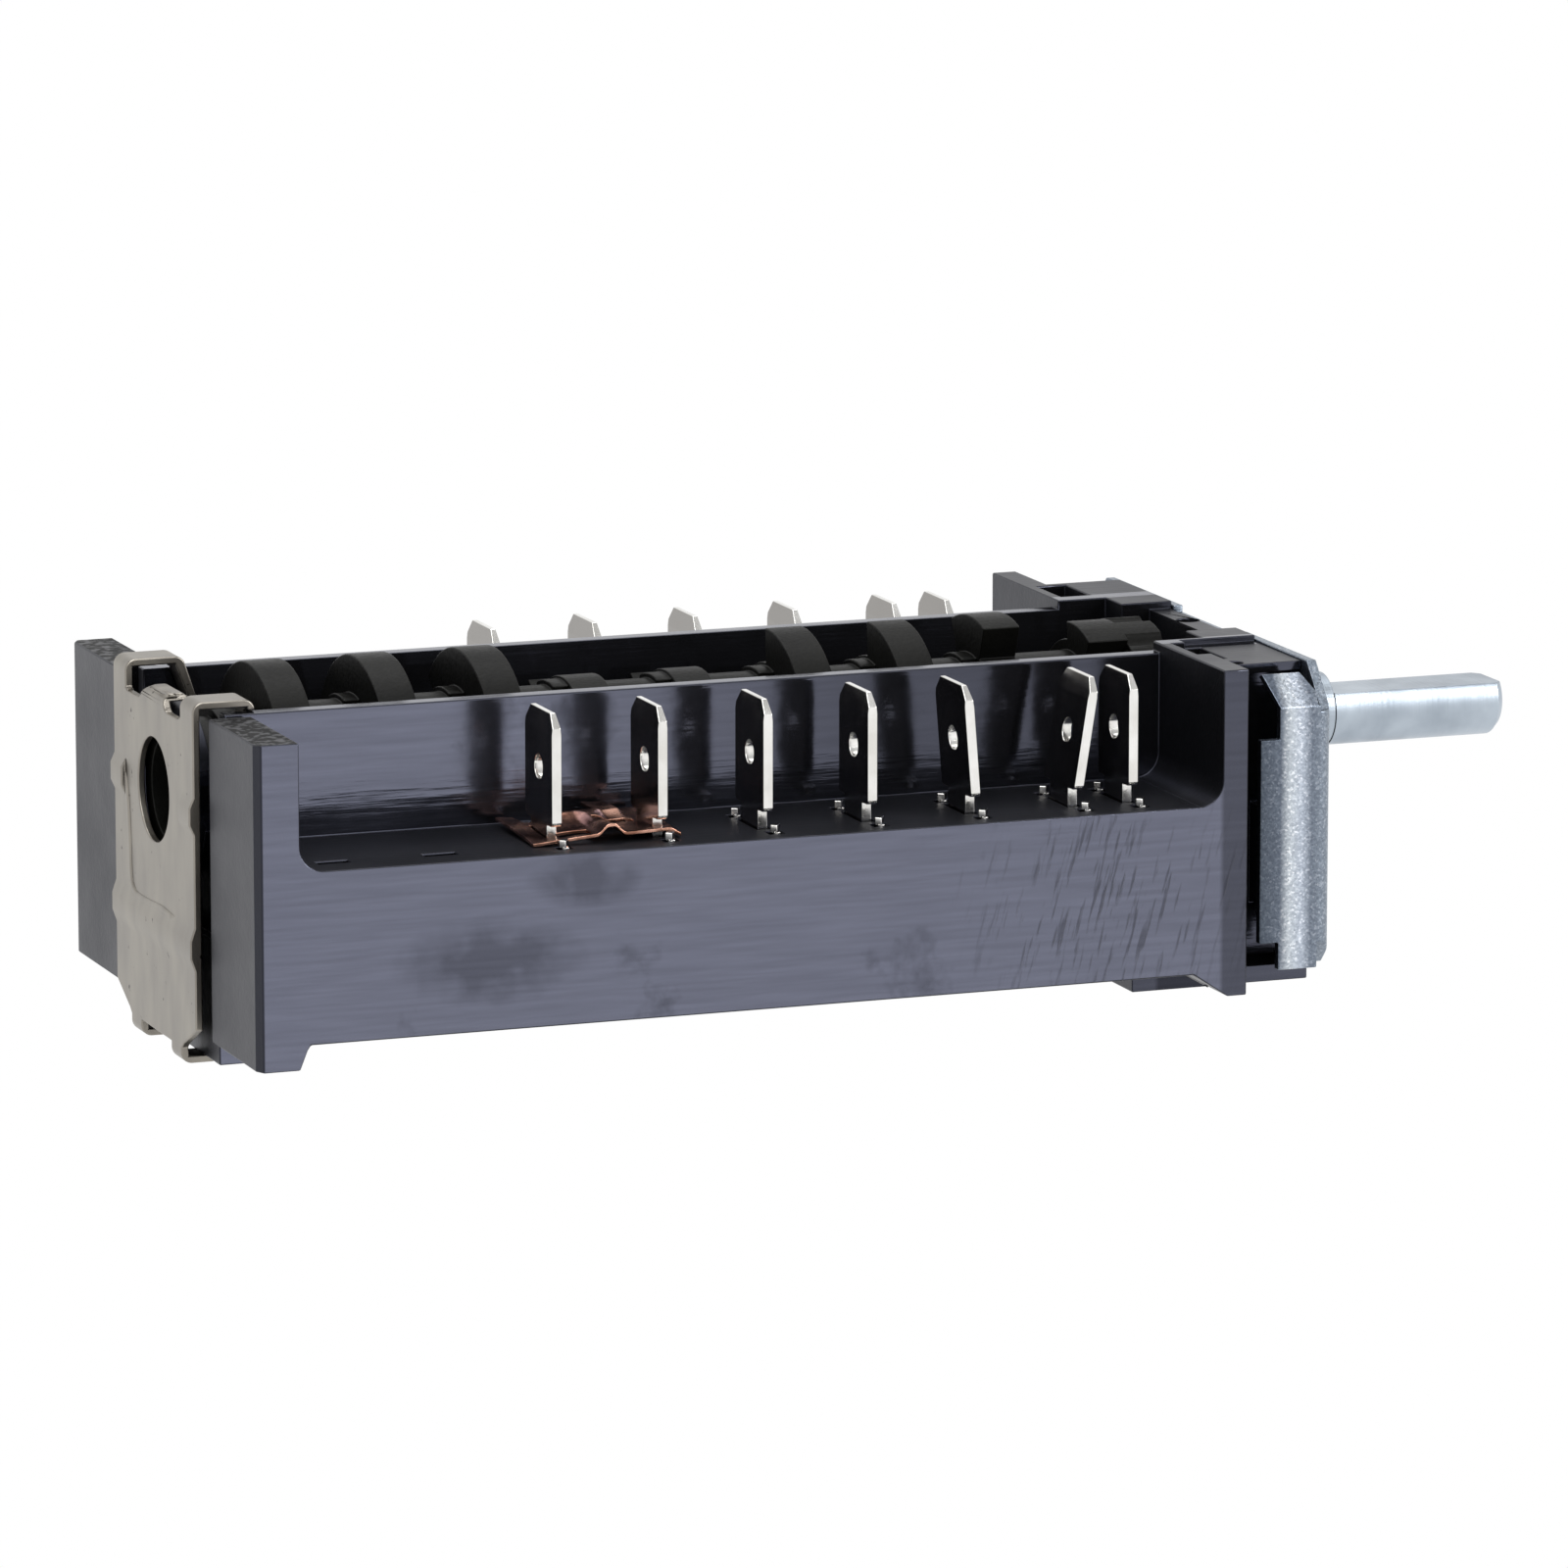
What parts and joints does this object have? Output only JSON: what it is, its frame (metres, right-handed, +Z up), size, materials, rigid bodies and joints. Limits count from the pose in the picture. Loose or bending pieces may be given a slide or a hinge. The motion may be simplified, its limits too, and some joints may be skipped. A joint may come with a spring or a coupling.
{
  "type": "rotary cam selector switch",
  "caption": "Long black cam selector switch of a cooker: D-flat shaft through a steel bracket, open camshaft trough, and a row of blade terminals down each side.",
  "frame": {"origin": "on the control shaft's axis, in the plane of the front bracket's mounting face", "axes": "+X along the control shaft out of the mounting face, +Z up with the switch on its feet"},
  "size_m": [0.114, 0.0488, 0.0299],
  "materials": {
    "housing": "moulded phenolic, glossy outer faces",
    "camshaft": "matt moulded",
    "shaft_steel": "bright zinc plated, turned",
    "galvanised": "galvanised sheet",
    "plate_steel": "satin passivated sheet",
    "blade_metal": "nickel plated strip",
    "leaf_bronze": "rolled spring strip",
    "bar_brass": "rolled strip",
    "contact_silver": "pressed rivets",
    "link_copper": "bare copper strip",
    "cover_sheet": "insulating sheet",
    "ball_steel": "polished",
    "spring_steel": "drawn wire"
  },
  "bodies": {
    "frame": {"housing": "housing", "front_bracket": "galvanised", "rear_plate": "plate_steel", "terminal_near_3": "blade_metal", "terminal_near_4": "blade_metal", "terminal_near_5": "blade_metal", "terminal_near_6": "blade_metal", "terminal_near_7": "blade_metal", "terminal_near_8": "blade_metal", "terminal_near_feed": "blade_metal", "terminal_far_4": "blade_metal", "terminal_far_5": "blade_metal", "terminal_far_6": "blade_metal", "terminal_far_7": "blade_metal", "terminal_far_8": "blade_metal", "terminal_far_feed": "blade_metal", "contact_leaf_near_3": "leaf_bronze", "contact_leaf_near_4": "leaf_bronze", "contact_leaf_near_5": "leaf_bronze", "contact_leaf_near_6": "leaf_bronze", "contact_leaf_near_7": "leaf_bronze", "contact_leaf_near_8": "leaf_bronze", "contact_leaf_far_4": "leaf_bronze", "contact_leaf_far_5": "leaf_bronze", "contact_leaf_far_6": "leaf_bronze", "contact_leaf_far_7": "leaf_bronze", "contact_leaf_far_8": "leaf_bronze", "supply_bar_near": "bar_brass", "supply_bar_far": "bar_brass", "moving_contacts": "contact_silver", "fixed_contacts": "contact_silver", "copper_link": "link_copper", "base_cover": "cover_sheet", "detent_spring_near": "spring_steel", "detent_spring_far": "spring_steel"},
    "rotor": {"camshaft": "camshaft", "control_shaft": "shaft_steel"},
    "near_ball": {"detent_ball_near": "ball_steel"},
    "far_ball": {"detent_ball_far": "ball_steel"}
  },
  "joints": [
    {"name": "shaft_turn", "type": "hinge", "parent": "frame", "child": "rotor", "pos_m": [0, 0, 0], "axis": [1, 0, 0], "continuous": true, "deforming": ["contact_leaf_near_3", "contact_leaf_near_4", "contact_leaf_near_5", "contact_leaf_near_6", "contact_leaf_near_7", "contact_leaf_near_8", "contact_leaf_far_4", "contact_leaf_far_5", "contact_leaf_far_6", "contact_leaf_far_7", "contact_leaf_far_8", "moving_contacts"]},
    {"name": "near_ball_lift", "type": "slide", "parent": "frame", "child": "near_ball", "axis": [0, -1, 0], "range_m": [0, 0.0006], "stiffness_N_per_m": 2000, "springref_m": -0.002, "deforming": ["detent_spring_near"]},
    {"name": "far_ball_lift", "type": "slide", "parent": "frame", "child": "far_ball", "axis": [0, 1, 0], "range_m": [0, 0.0006], "stiffness_N_per_m": 2000, "springref_m": -0.002, "deforming": ["detent_spring_far"]}
  ]
}
